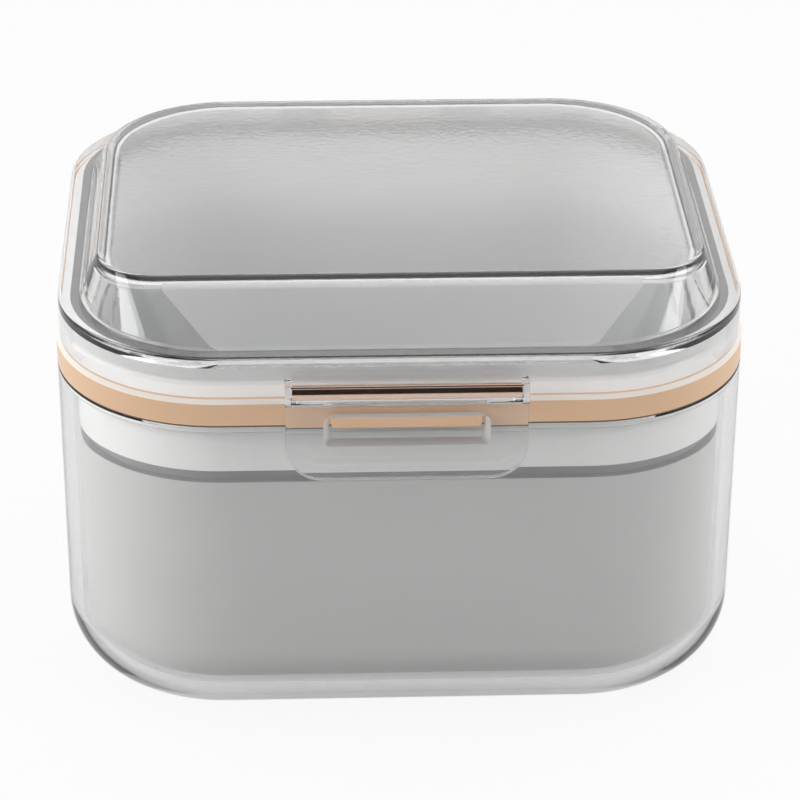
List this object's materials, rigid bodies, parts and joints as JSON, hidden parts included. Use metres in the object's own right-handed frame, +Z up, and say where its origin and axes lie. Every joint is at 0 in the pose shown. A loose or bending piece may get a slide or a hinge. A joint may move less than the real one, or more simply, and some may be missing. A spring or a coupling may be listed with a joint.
{
  "type": "retainer case",
  "caption": "Rounded clear case for a dental retainer, with a grey inner tub, a drain basket, a hinged clear lid and a front flap latch.",
  "frame": {"origin": "middle of the flat base that the case stands on", "axes": "+Z up, -Y towards the front with the latch, +X to the right when seen from the front"},
  "size_m": [0.095, 0.0947, 0.0642],
  "materials": {
    "clear_plastic": "clear, polished; the lid's top is frosted",
    "tub_plastic": "satin grey",
    "ring_plastic": "satin beige",
    "pin_steel": "plain drawn steel",
    "seal_silicone": "matt grey silicone",
    "basket_plastic": "satin light grey"
  },
  "bodies": {
    "case": {"outer_shell": "clear_plastic", "inner_tub": "tub_plastic", "rim_ring": "ring_plastic", "hinge_pin": "pin_steel"},
    "lid": {"lid_shell": "clear_plastic", "lid_seal": "seal_silicone"},
    "latch": {"front_latch": "clear_plastic"},
    "basket": {"drain_basket": "basket_plastic"}
  },
  "joints": [
    {"name": "lid_hinge", "type": "hinge", "parent": "case", "child": "lid", "pos_m": [0, 0.0457, 0.0499], "axis": [-1, 0, 0], "range_deg": [0, 105]},
    {"name": "latch_hinge", "type": "hinge", "parent": "lid", "child": "latch", "pos_m": [0, -0.0448, 0.05357], "axis": [-1, 0, 0], "range_deg": [0, 100]},
    {"name": "basket_lift", "type": "slide", "parent": "case", "child": "basket", "axis": [0, 0, 1], "range_m": [0, 0.005]}
  ]
}
